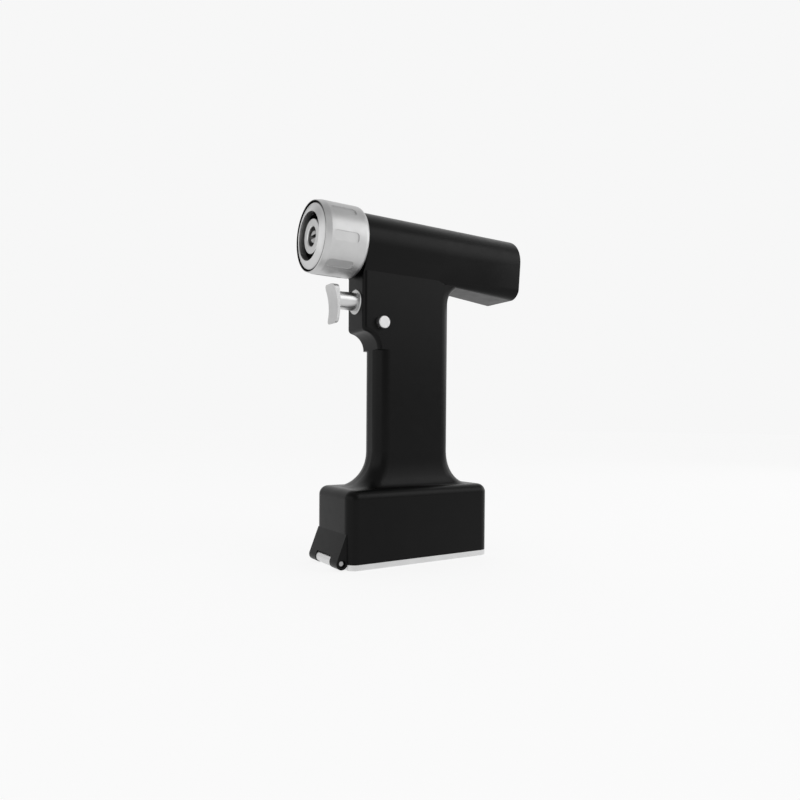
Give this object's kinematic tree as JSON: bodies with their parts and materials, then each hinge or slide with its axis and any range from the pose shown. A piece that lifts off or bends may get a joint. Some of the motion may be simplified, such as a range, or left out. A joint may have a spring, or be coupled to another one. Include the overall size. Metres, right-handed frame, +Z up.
{
  "type": "surgical power drill",
  "caption": "Battery surgical drill: pistol housing, fluted coupling collar, planetary drive, plunger trigger, push-through selector and hinged battery lid.",
  "frame": {"origin": "on the surface the drill stands on, under the middle of its length and width", "axes": "+Z up, the drive axis along X with the coupling collar towards -X, +Y the far side in the picture"},
  "size_m": [0.1388, 0.0414, 0.1978],
  "materials": {
    "housing_black": "satin black anodised aluminium",
    "collar_steel": "bead-blasted satin stainless steel",
    "face_ring_steel": "turned stainless steel",
    "boss_steel": "turned stainless steel",
    "spindle_steel": "ground steel",
    "bayonet_black": "black oxide",
    "inner_steel": "turned",
    "bearing_steel": "polished",
    "gear_steel": "ground",
    "spring_steel": "drawn wire and strip",
    "screw_steel": "satin",
    "motor_can_aluminium": "turned",
    "winding_copper": "lacquered copper",
    "magnet_coating": "nickel plated",
    "circuit_board": "green solder mask",
    "chip_plastic": "moulded",
    "lead_insulation": "silicone",
    "seal_rubber": "matt black",
    "gasket_rubber": "grey silicone",
    "trigger_steel": "bead-blasted satin stainless steel",
    "plunger_steel": "ground stainless steel",
    "bush_steel": "turned stainless steel",
    "button_steel": "turned stainless steel",
    "lid_steel": "satin stainless steel",
    "contact_plastic": "glass-filled",
    "contact_brass": "gold plated",
    "battery_plastic": "moulded",
    "cell_steel": "sleeved steel can"
  },
  "bodies": {
    "handpiece": {"housing": "housing_black", "nose_tube": "inner_steel", "nose_boss": "boss_steel", "channel_seal": "seal_rubber", "collar_circlip": "spring_steel", "spindle_bearing_outer_races": "bearing_steel", "bearing_spacer": "inner_steel", "ring_gear": "gear_steel", "motor_can": "motor_can_aluminium", "stator_core": "inner_steel", "stator_winding": "winding_copper", "motor_front_flange": "motor_can_aluminium", "motor_rear_flange": "motor_can_aluminium", "motor_bearing_outer_races": "bearing_steel", "hall_board": "circuit_board", "power_board": "circuit_board", "power_capacitors": "chip_plastic", "motor_lead_loom": "lead_insulation", "trigger_bush": "bush_steel", "trigger_seal": "seal_rubber", "control_board": "circuit_board", "control_chips": "chip_plastic", "board_screws": "screw_steel", "contact_block": "contact_plastic", "contact_pins": "contact_brass", "hinge_pin": "screw_steel", "battery_case": "battery_plastic", "battery_cells": "cell_steel", "battery_terminals": "contact_brass"},
    "collar": {"collar_sleeve": "collar_steel", "collar_face_ring": "face_ring_steel", "bayonet_ring": "bayonet_black", "collar_spring": "spring_steel"},
    "spindle": {"output_spindle": "spindle_steel", "planet_carrier": "gear_steel", "carrier_pins": "gear_steel", "spindle_bearing_inner_races": "bearing_steel"},
    "planet_1": {"planet_gear_1": "gear_steel"},
    "planet_2": {"planet_gear_2": "gear_steel"},
    "planet_3": {"planet_gear_3": "gear_steel"},
    "rotor": {"rotor_shaft": "gear_steel", "rotor_magnet": "magnet_coating", "sun_pinion": "gear_steel", "motor_bearing_inner_races": "bearing_steel"},
    "trigger": {"trigger_pad": "trigger_steel", "trigger_plunger": "plunger_steel", "trigger_magnet": "magnet_coating", "trigger_spring": "spring_steel"},
    "selector": {"selector_pin": "button_steel", "selector_seals": "seal_rubber"},
    "lid": {"lid_plate": "lid_steel", "lid_gasket": "gasket_rubber", "lid_catch": "spring_steel", "catch_screws": "screw_steel"}
  },
  "joints": [
    {"name": "collar_turn", "type": "hinge", "parent": "handpiece", "child": "collar", "pos_m": [-0.054, 0, 0.1783], "axis": [1, 0, 0], "range_deg": [0, 30], "stiffness_Nm_per_rad": 0.5, "deforming": ["collar_spring"]},
    {"name": "spindle_spin", "type": "hinge", "parent": "handpiece", "child": "spindle", "pos_m": [-0.05, 0, 0.1783], "axis": [1, 0, 0], "continuous": true},
    {"name": "rotor_spin", "type": "hinge", "parent": "handpiece", "child": "rotor", "pos_m": [0, 0, 0.1783], "axis": [1, 0, 0], "continuous": true},
    {"name": "trigger_slide", "type": "slide", "parent": "handpiece", "child": "trigger", "axis": [1, 0, 0], "range_m": [0, 0.006], "stiffness_N_per_m": 800, "springref_m": -0.003, "deforming": ["trigger_spring"]},
    {"name": "selector_slide", "type": "slide", "parent": "handpiece", "child": "selector", "axis": [0, 1, 0], "range_m": [0, 0.0035]},
    {"name": "lid_hinge", "type": "hinge", "parent": "handpiece", "child": "lid", "pos_m": [-0.05683, 0, 0.00395], "axis": [0, 1, 0], "range_deg": [0, 110], "deforming": ["lid_catch"]},
    {"name": "planet_1_spin", "type": "hinge", "parent": "spindle", "child": "planet_1", "pos_m": [-0.031, 0, 0.1858], "axis": [1, 0, 0], "continuous": true},
    {"name": "planet_2_spin", "type": "hinge", "parent": "spindle", "child": "planet_2", "pos_m": [-0.031, -0.00649, 0.17455], "axis": [1, 0, 0], "continuous": true},
    {"name": "planet_3_spin", "type": "hinge", "parent": "spindle", "child": "planet_3", "pos_m": [-0.031, 0.00649, 0.17455], "axis": [1, 0, 0], "continuous": true}
  ],
  "couplings": [
    {"joint": "rotor_spin", "follows": "spindle_spin", "ratio": 5},
    {"joint": "planet_1_spin", "follows": "spindle_spin", "ratio": -2.6667},
    {"joint": "planet_2_spin", "follows": "spindle_spin", "ratio": -2.6667},
    {"joint": "planet_3_spin", "follows": "spindle_spin", "ratio": -2.6667}
  ]
}
